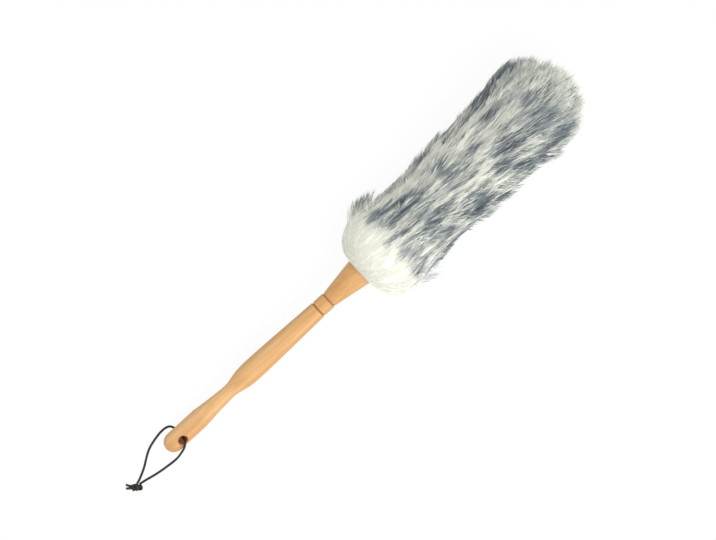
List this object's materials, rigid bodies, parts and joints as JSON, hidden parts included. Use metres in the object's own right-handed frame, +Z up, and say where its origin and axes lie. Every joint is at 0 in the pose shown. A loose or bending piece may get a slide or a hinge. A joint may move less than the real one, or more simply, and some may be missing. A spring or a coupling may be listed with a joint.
{
  "type": "wool duster",
  "caption": "Hand duster with a long lambswool head on a turned beech handle, and a knotted leather lace through the butt to hang it by.",
  "frame": {"origin": "on the table that the duster lies on, under the middle of its handle and head", "axes": "+X along the duster from the butt to the wool tip, +Z up from the table"},
  "size_m": [0.6095, 0.1102, 0.1006],
  "materials": {
    "beech": "oiled, satin",
    "wool": "soft pile, cream roots and slate grey tips",
    "lambskin": "tanned, matt",
    "tack_steel": "bright",
    "lace_leather": "dark, waxed"
  },
  "bodies": {
    "duster": {"handle": "beech", "core_dowel": "beech", "sheepskin_strip": "lambskin", "strip_pile": "wool", "base_tack_1": "tack_steel", "base_tack_2": "tack_steel", "tip_tack_1": "tack_steel", "tip_tack_2": "tack_steel", "tip_patch": "lambskin", "tip_pile": "wool", "patch_tack": "tack_steel"},
    "hang_loop": {"hang_lace": "lace_leather", "lace_knot": "lace_leather", "lace_end_1": "lace_leather", "lace_end_2": "lace_leather"}
  },
  "joints": [
    {"name": "loop_swing", "type": "hinge", "parent": "duster", "child": "hang_loop", "pos_m": [-0.2562, -0.00181, 0.01246], "axis": [-0.0698, 0, 0.9976], "range_deg": [-75, 75], "deforming": ["hang_lace"]}
  ]
}
